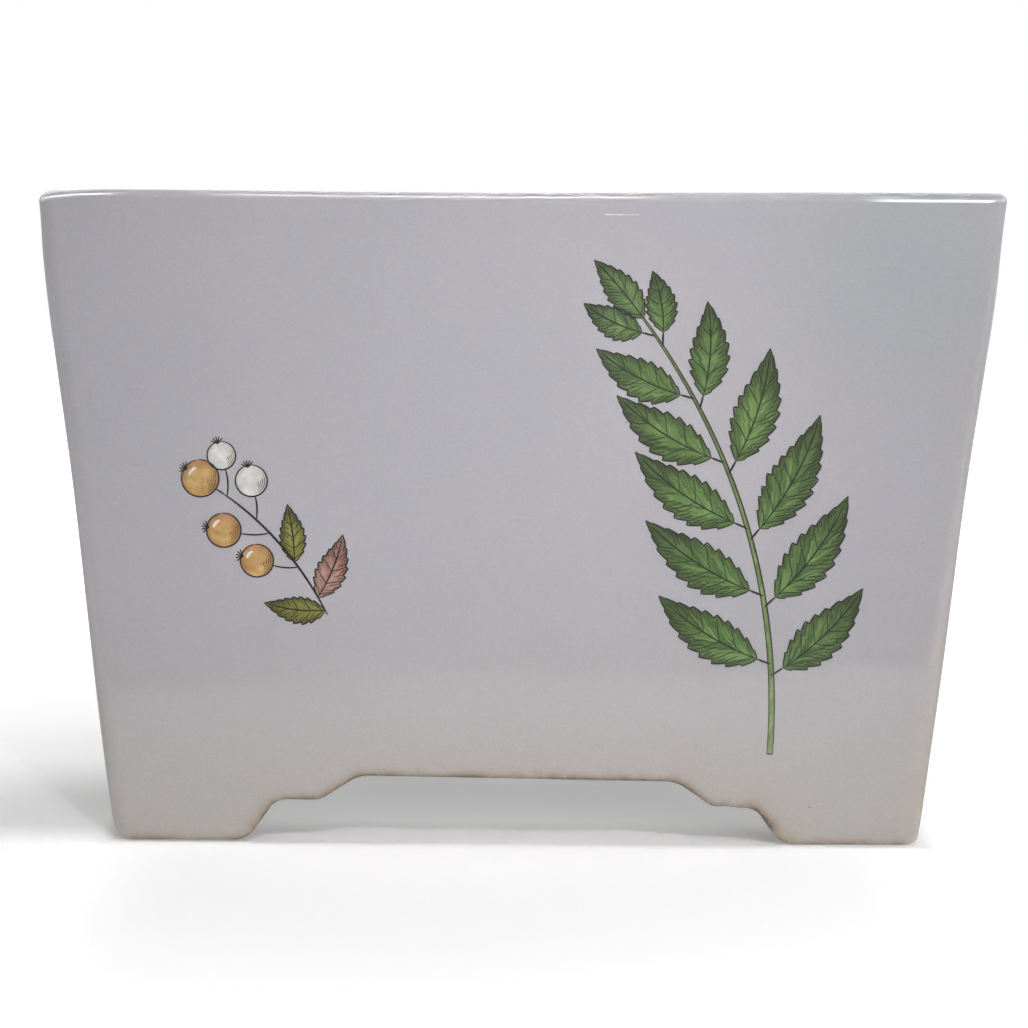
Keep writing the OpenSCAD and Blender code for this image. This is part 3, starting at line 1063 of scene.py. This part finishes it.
def paint_spray(side, low, pull, high, longest, widest):
    """A stem from low to high with pairs of leaves, and one leaf on its tip. Millimetres."""
    stem = curve(low, pull, high, 90) * MM
    paint_stem(side, stem, 1.9 * MM, 0.7 * MM)
    for k in range(PAIRS):
        share = k / (PAIRS - 1)
        for sign in (1, -1):
            t = 0.17 + 0.76 * share + (0.025 if sign > 0 else 0)
            before, spot, after = at(stem, np.array([t - 0.01, t, t + 0.01]))
            wobble = 0.05 * math.sin(1.3 * k + 1.7 * sign + side)
            angle = heading(before, after) + sign * (math.radians(62 - 24 * share) + wobble)
            size = (0.78 + 0.5 * share - 0.86 * share**2) * (1 + 0.5 * wobble)
            stalk = bent_line(spot, angle, 4.5 * MM, 0, 8)
            ink(side, stalk, 0.75 * MM)
            paint_leaf(side, stalk[-1], angle, longest * size * MM, widest * size**0.6 * MM,
                       -sign * math.radians(24), max(8, round(longest * size / 4.2)),
                       (k * 2 + sign) * 0.13 + side)
    paint_leaf(side, stem[-1], heading(stem[-3], stem[-1]), 0.5 * longest * MM, 0.62 * widest * MM,
               0.15, 8, 0.77 + side)


# %% [markdown]
# A fruit is drawn as a painter does it: one dab of colour, a ring that overshoots its start, a few
# arcs of shade on one side, a white gleam on the other, and a star of five short strokes at its end.
# A circle needs no mesh of its own, because a strip whose half width is r sin(a) along a line of
# r cos(a) is one.

# %% Paint a sprig of fruit
def paint_fruit(side, centre, radius, kind, light):
    """A round fruit: a wash, an ink ring that doesn't quite close, shading strokes and a gleam."""
    turn = np.linspace(0, math.pi, 26)
    line = centre + np.stack([0 * turn, -radius * np.cos(turn)], -1)
    half = radius * np.sin(turn) + 0.02 * MM
    strip(side, kind, line, half, half, WASH_LIFT, WASH_ACROSS, light)

    def arc(share, low, high, count, *look):
        """An arc of ink from angle low to high in degrees, on the circle of share * radius."""
        ink(side, centre + radius * share * aimed(np.radians(np.linspace(low, high, count))), *look)

    arc(1.0, 100, 456, 60, 0.6 * MM)
    for k in range(4):
        arc(0.84 - 0.13 * k, -62 + 8 * k, 28 - 12 * k, 12, 0.24 * MM)
    arc(0.62, 112, 165, 12, 1.1 * MM, "white", 0.055 * MM)


def paint_sprig(side, low, pull, high, size):
    """A thin stem with fruit and leaves, all of them drawn to the same size."""
    stem = curve(low, pull, high, 50) * MM
    size = size * MM
    ink(side, stem, 0.85 * MM)
    for share, degrees, stalk_length, radius, kind in FRUITS:
        before, spot = at(stem, np.array([max(share - 0.02, 0), share]))
        angle = heading(before, spot) + math.radians(degrees)
        bend = -math.radians(degrees) * 0.4
        stalk = bent_line(spot, angle, stalk_length * size, bend, 14)
        ink(side, stalk, 0.6 * MM)
        reach = aimed(angle + bend) * radius * size
        paint_fruit(side, stalk[-1] + reach, radius * size, kind, share + side)
        for fan in (-50, -25, 0, 25, 50):
            ray = bent_line(stalk[-1] + reach * 1.86, angle + bend + math.radians(fan), 2.3 * size, 0, 6)
            ink(side, ray, 0.5 * MM)
    for number, (share, degrees, length, kind) in enumerate(SPRIG_LEAVES):
        before, spot = at(stem, np.array([max(share - 0.02, 0), share]))
        paint_leaf(side, spot, heading(before, spot) + math.radians(degrees), length * size,
                   0.42 * length * size, -math.radians(degrees) * 0.35, 8, number * 0.31 + side, kind)


# %% [markdown]
# Each wall gets one spray and one sprig, which keep clear of each other and of the corners. The
# painter turns the pot and starts anew, so every wall has its own places, bends and sizes. They are
# given as three points of each stem's curve.

# %% Compose the four walls
# Fruit on a sprig: share of the stem, angle from its heading in degrees, stalk, radius and kind
FRUITS = [(0.34, 64, 7.5, 4.8, "ochre"), (0.62, 60, 8.5, 5.0, "ochre"), (0.74, -56, 7.0, 4.6, "fruit"),
          (1.0, 2, 3.0, 5.4, "ochre"), (0.98, -64, 8.0, 4.1, "fruit")]
# Leaves on a sprig: share of the stem, angle, length, kind
SPRIG_LEAVES = [(0.03, 68, 18, "olive"), (0.12, -62, 20, "rose"), (0.38, -36, 17, "olive")]
# Each wall's spray: low end, pull and high end of its stem, and the length and width of its leaves
SPRAYS = [
    ((80, 30), (84, 106), (38, 168), 47, 15.5),
    ((-36, 34), (-48, 100), (-14, 166), 44, 15),
    ((62, 32), (80, 98), (32, 168), 46, 15.5),
    ((34, 34), (58, 92), (28, 166), 44, 15),
]
# Each wall's sprig: low end, pull and high end of its stem, and its size
SPRIGS = [
    ((-60, 74), (-72, 98), (-92, 112), 1.08),
    ((58, 60), (74, 80), (80, 102), 1.0),
    ((-64, 84), (-64, 106), (-82, 124), 1.05),
    ((-70, 64), (-66, 88), (-82, 106), 1.0),
]
for side in range(4):
    paint_spray(side, *SPRAYS[side])
    paint_sprig(side, *SPRIGS[side])

# A painted highlight: a short line of white enamel under the rim that stands in for a glint on the glaze
painted_glint_line = np.array([(26, 200.3), (29, 200.2), (33, 200.1), (36.5, 200.2)]) * MM
strip(0, "white", painted_glint_line, 0.18 * MM, 0.18 * MM, WASH_LIFT)
print(sum(len(strips) for strips in paint.values()), "strips of paint")

# %% [markdown]
# ## Enamel
# Enamel washes are streaky: the brush leaves more colour along the veins and where it stopped. The
# streaks read the strip's own uv, u along it and v across, so they follow every leaf. Ink is nearly
# black, and where the line is thin it turns brown. All of them have the gloss of the glaze below.

# %% Brush streaks
def brush_streaks(group, given):
    """Patterns on the strip's uv and seed. Streaks is a noise drawn out along the side veins, and
    Pool is high at a strip's two margins, where the colour gathers."""
    along, across, _ = xyz(group, add_node(group, "UVMap", uv_map="paint").outputs[0])
    aside = abs(across - 0.5)
    spread = (along - aside * given["Slant"]) * given["Streak count"]
    place = add_node(group, "CombineXYZ", enumerate((spread, across, attribute(group, "seed") * 9.0)))
    streaks = noise(group, {"Vector": place.outputs[0], "Scale": 1.0, "Detail": 3.0, "Roughness": 0.6})
    return {"Streaks": streaks.ramp(0.3, 0.7), "Pool": (aside * 2.0) ** given["Pooling"], "Along": along}


STREAKS = make_group("Brush streaks", {"Streak count": 16.0, "Slant": 0.8, "Pooling": 2.5}, brush_streaks)
print(STREAKS.name, "has", len(STREAKS.nodes), "nodes")

# %% [markdown]
# Every enamel is made in the same way, so one function builds them all and a table holds what
# differs.

# %% Enamel materials
# The slot of each kind, its light, deep, tip and pooled colours, streak count, slant and gloss
ENAMELS = {
    "leaf": ("leaf", (112, 142, 80), (60, 84, 42), (50, 64, 34), (52, 66, 36), 16, 0.8, 0.1),
    "olive": ("leaf", (146, 146, 74), (98, 94, 34), (84, 80, 34), (80, 78, 34), 12, 0.8, 0.1),
    "stem": ("leaf", (128, 150, 96), (96, 116, 68), (84, 100, 56), (70, 80, 44), 30, 0.0, 0.1),
    "ochre": ("ochre", (204, 174, 112), (178, 132, 82), (168, 118, 84), (128, 92, 62), 3, 0.3, 0.1),
    "rose": ("ochre", (186, 152, 140), (140, 100, 90), (120, 82, 72), (98, 68, 56), 12, 0.8, 0.1),
    "fruit": ("white", (214, 213, 214), (200, 198, 196), (206, 203, 200), (176, 172, 158), 3, 0.3, 0.1),
    "white": ("white", (220, 219, 220), (208, 206, 206), (214, 212, 212), (206, 204, 200), 4, 0.0, 0.1),
    "ink": ("line", (44, 38, 22), (26, 22, 12), (26, 22, 12), (34, 29, 16), 9, 0.0, 0.14),
}
ENAMEL_RIPPLE = 0.04 * MM


def enamel_material(name, light, deep, tip, pooled, streak_count, slant, gloss):
    """A glossy enamel. light and deep are mixed by the streaks, tip takes over along the strip, and
    pooled is the colour of its margins."""
    material, tree, shader = principled(name)
    brush = use_group(tree, STREAKS, {"Streak count": streak_count, "Slant": slant})
    out = use_group(tree, PATTERN)
    body = mix(tree, brush["Streaks"], srgb(*light), srgb(*deep))
    body = mix(tree, brush["Along"].ramp(0.35, 1.0, 0.0, 0.8), body, srgb(*tip))
    body = mix(tree, brush["Pool"] * 0.75, body, srgb(*pooled))
    body = mix(tree, 1.0, body, out["Mottle"].ramp(0.0, 1.0, 0.86, 1.12).grey(), "MULTIPLY")
    rough = brush["Streaks"].ramp(0.0, 1.0, gloss * 0.8, gloss * 1.3)
    dress(tree, shader, body, rough, out["Height"], ENAMEL_RIPPLE)
    return material


materials = {kind: enamel_material(kind + " enamel", *row[1:]) for kind, row in ENAMELS.items()}
painted = []
for side in range(4):
    for kind, row in ENAMELS.items():
        piece = painted_piece(side, kind)
        piece.data.materials.append(materials[kind])
        painted.append(piece)
print(len(painted), "painted pieces with", sum(len(v) for v in paint.values()), "strips and",
      sum(len(p.data.polygons) for p in painted), "faces")

# %% [markdown]
# ## Studio
# The photograph shows the planter from the front, a little from its right, with a long lens at about
# the height of the rim. The ground is white and the light is soft and comes from all round, with a
# lamp nearly overhead that draws a thin bright line along the rim.

# %% Camera
# Found by fitting the planter's outline to the photograph, in millimetres and degrees
CAMERA_AWAY = 1050 * MM
CAMERA_HIGH = 184 * MM
CAMERA_TURN = math.radians(0.50)
CAMERA_ROLL = math.radians(0.37)
AIM = Vector((-2.7, 0, 94.6)) * MM
LENS = 102.36

eye = Vector((AIM.x + CAMERA_AWAY * math.sin(CAMERA_TURN), -CAMERA_AWAY * math.cos(CAMERA_TURN),
              CAMERA_HIGH))
ahead = (AIM - eye).normalized()
right = ahead.cross(Vector((0, 0, 1))).normalized()
upward = right.cross(ahead)
image_x = right * math.cos(CAMERA_ROLL) + upward * math.sin(CAMERA_ROLL)
image_y = upward * math.cos(CAMERA_ROLL) - right * math.sin(CAMERA_ROLL)
camera_data = bpy.data.cameras.new("camera")
camera_data.lens = LENS
camera_data.sensor_width = 36
camera = add_object("camera", camera_data)
axes = Matrix((image_x, image_y, -ahead)).transposed()
camera.matrix_world = Matrix.Translation(eye) @ axes.to_4x4()
bpy.context.scene.camera = camera
print("camera at", [round(v, 3) for v in eye])

# %% [markdown]
# The planter stands on white paper. More light would turn the paper white, but bleach the pale glaze
# too. So the floor is a plain pale one that takes the shadow, and only the camera sees it lifted
# towards white: fully far away, less close by, and least beneath the planter. Near the planter the
# lift is lowered in places, which paints shadow on top of the real one.

# %% What the camera sees of the ground
# How much the ground beside the planter is lifted for the camera, and how much beneath its front
# and its middle. It is less on the left, in front and beneath the planter, which paints shadow there.
GROUND_LIFT = 0.44
LIFT_BENEATH = (0.19, 0.385)


def seen_lift(tree, place):
    """How much the camera sees the ground lifted: painted shadow as a blot beside the left foot, a soft
    one in front, a dark line where the feet stand and less lift beneath the planter, and white 0.6 m
    away."""
    x, y, _ = xyz(tree, place)

    def far_from(centre):
        """The distance of a place from a point."""
        node = add_node(tree, "VectorMath", {0: place, 1: centre}, operation="DISTANCE")
        return Value(tree, node.outputs["Value"])

    # Painted shadow beside the left foot, in front of the planter and round its feet
    painted_shadow_blot = far_from((-0.14, -0.085, 0)).ramp(0.02, 0.13, -0.31, 0.0) + x.ramp(-0.13, -0.05, -0.02, 0.0)
    front = y.ramp(-0.16, -0.11, -0.13, 0.0) * abs(x).ramp(0.1, 0.14, 1.0, 0.0)
    square = abs(x).math("MAXIMUM", abs(y))
    outside = painted_shadow_blot * y.ramp(-0.145, -0.1) + front + square.ramp(0.128, 0.137, -0.26, 0.0)
    # Painted shade beneath the planter
    beneath = y.ramp(-0.125, -0.085, *[lift - GROUND_LIFT for lift in LIFT_BENEATH])
    change = add_node(tree, "Mix", {0: square.ramp(0.124, 0.13, 1.0, 0.0), 2: outside, 3: beneath})
    return far_from((0, 0, 0)).ramp(0.2, 0.6, GROUND_LIFT, 1.0) + Value(tree, change.outputs[0])


# %% [markdown]
# The glossy wall mirrors what lies in front of it. A real sheet and a real lamp on the ground would
# light the wall and show in the picture, so both are only there for glossy rays.

# %% What the glaze mirrors of the ground
# Where the paper sheet ends in front of the planter, and the daylight beyond it, in metres
SHEET_END = -0.279
STRIP_X = (0.021, 0.0435)
STRIP_Y = (-1.15, -0.43)


def mirrored_light(tree, place):
    """What the glaze mirrors on the ground: a paper sheet round the planter, whose edge waves a
    little, and a band of daylight beyond it. across tells where a ray from the camera meets the
    wall that mirrors a place."""
    plan_y = xyz(tree, place)[1]
    wave = add_node(tree, "TexNoise", {"Vector": place, "Scale": 24.0, "Detail": 1.0}).outputs["Color"]
    moved = add_node(tree, "VectorMath", enumerate((wave, (0.01, 0.024, 0), place)),
                     operation="MULTIPLY_ADD")
    x, y, _ = xyz(tree, moved.outputs[0])
    sheet = (x * 0.073 + y).ramp(SHEET_END - 0.0015, SHEET_END + 0.0015)
    sheet = sheet * x.ramp(-0.1, 0.14, 0.95, 1.15) * plan_y.ramp(-0.14, -0.1, 1.0, 0.25)
    across = x * 0.9 / (y * -1.0 + 0.75)
    left, right = STRIP_X
    far, near = STRIP_Y
    band = across.ramp(left - 0.006, left + 0.012) * across.ramp(right - 0.0012, right + 0.0012, 1.0, 0.0)
    band = band * y.ramp(far - 0.06, far + 0.1) * y.ramp(near - 0.4, near, 1.0, 0.2)
    return sheet + band * y.ramp(near, near + 0.1, 0.8, 0.0)


# %% The ground
def white_ground():
    """A pale matt floor. Camera rays see it lifted to white away from the planter, so that only the
    shadow near it shows. Glossy rays see what the glaze mirrors."""
    material, tree, shader = principled("white ground")
    place = add_node(tree, "TexCoord").outputs["Object"]
    ray = add_node(tree, "LightPath").outputs
    glow = (Value(tree, ray["Is Camera Ray"]) * seen_lift(tree, place)
            + Value(tree, ray["Is Glossy Ray"]) * mirrored_light(tree, place))
    tone = noise(tree, {"Scale": 3.0, "Detail": 2.0}).ramp(0.3, 0.7, 0.82, 0.86).grey()
    for name, value in (("Base Color", tone), ("Roughness", 0.9), ("Specular IOR Level", 0.1),
                        ("Emission Color", (1, 1, 1)), ("Emission Strength", glow)):
        plug(tree, shader.inputs[name], value)
    return material


ground_mesh = bpy.data.meshes.new("ground")
ground_mesh.from_pydata([(-6, -6, 0), (6, -6, 0), (6, 6, 0), (-6, 6, 0)], [], [(0, 1, 2, 3)])
ground = add_object("ground", ground_mesh)
ground.data.materials.append(white_ground())
print("ground", [round(v, 2) for v in ground.dimensions], "m")

# %% [markdown]
# The world is white. The camera sees it at full strength and matt things are lit by a little more
# than half of it. The glaze mirrors it darker towards the horizon in front, and brighter overhead
# and behind the planter, where the rim's top turns to.

# %% The world
scene = bpy.context.scene
scene.view_settings.view_transform = "Standard"
world = bpy.data.worlds.new("studio")
scene.world = world
world.use_nodes = True
sky = world.node_tree
SKY_LIGHT = 0.58
ray = add_node(sky, "LightPath").outputs
_, behind, below = xyz(sky, add_node(sky, "NewGeometry").outputs["Incoming"])
mirrored_sky = below.ramp(0.0, -0.5, -0.3, 0.75) + behind.ramp(0.1, -0.6, 0.0, 0.45)
strength = (Value(sky, ray["Is Camera Ray"]) * (1 - SKY_LIGHT) + SKY_LIGHT
            + Value(sky, ray["Is Glossy Ray"]) * mirrored_sky)
plug(sky, sky.nodes["Background"].inputs["Color"], (1, 1, 1))
plug(sky, sky.nodes["Background"].inputs["Strength"], strength)
print("the world lights matt things at", SKY_LIGHT)

# %% [markdown]
# The rim's round edge is a long mirror for what hangs above and beside the camera. Panels overhead
# draw its thin bright lines, and low windows on the right draw the broad line that ends at the right
# corner and runs down it. They only show in the glaze. The light itself comes from the white room, a
# wide window in front, a window behind, and a small key lamp whose beam fades to its sides and
# favours the middle of the front.

# %% Lamps
# Each lamp's name, place, target, size (across, high) in metres and power in watts
LIGHTS = [
    ("right window", (0.98, -2.15, 0.72), (0.98, -0.15, 0.2), (1.24, 0.6), 9),
    ("back window", (1.5, 1.9, 1.1), (0, 0.1, 0.15), (1.4, 0.9), 14),
    ("front key", (0.25, -1.3, 1.1), (0.012, -0.14, 0.135), (0.2, 0.2), 0.13),
]
MIRRORED = [
    ("ceiling strip", (-0.09, -1.116, 1.6), (-0.09, -0.15, 0.2), (0.36, 0.16), 7),
    ("left strip", (-1.04, -1.167, 1.6), (-1.04, -0.15, 0.2), (1.22, 0.77), 42),
    ("left panel", (-1.9, -0.45, 1.5), (-0.15, -0.15, 0.2), (1.2, 0.7), 32),
    ("left window", (-2.2, 0.1, 0.75), (-0.15, -0.15, 0.2), (1.2, 1.2), 18),
    ("window glass", (0.98, -2.15, 0.52), (0.98, -0.15, 0.2), (1.28, 1.0), 80),
    ("side window", (1.75, 0.1, 0.55), (0.15, -0.15, 0.3), (1.4, 0.76), 14),
]
KEY_SPREAD = math.radians(16)


def soft_lamp(name, place, target, size, power, lights):
    """A rectangular lamp that faces its target. It either lights matt things or shows in the glaze."""
    data = bpy.data.lights.new(name, "AREA")
    data.shape = "RECTANGLE"
    data.size, data.size_y = size
    data.energy = power
    lamp = add_object(name, data)
    lamp.location = place
    lamp.rotation_euler = (Vector(target) - Vector(place)).to_track_quat("-Z", "Y").to_euler()
    lamp.visible_diffuse = lights
    lamp.visible_glossy = not lights
    return lamp


lit = [soft_lamp(*row, True) for row in LIGHTS]
lit[-1].data.spread = KEY_SPREAD
mirrored = [soft_lamp(*row, False) for row in MIRRORED]
print(len(lit), "lamps light,", len(mirrored), "show in the glaze")
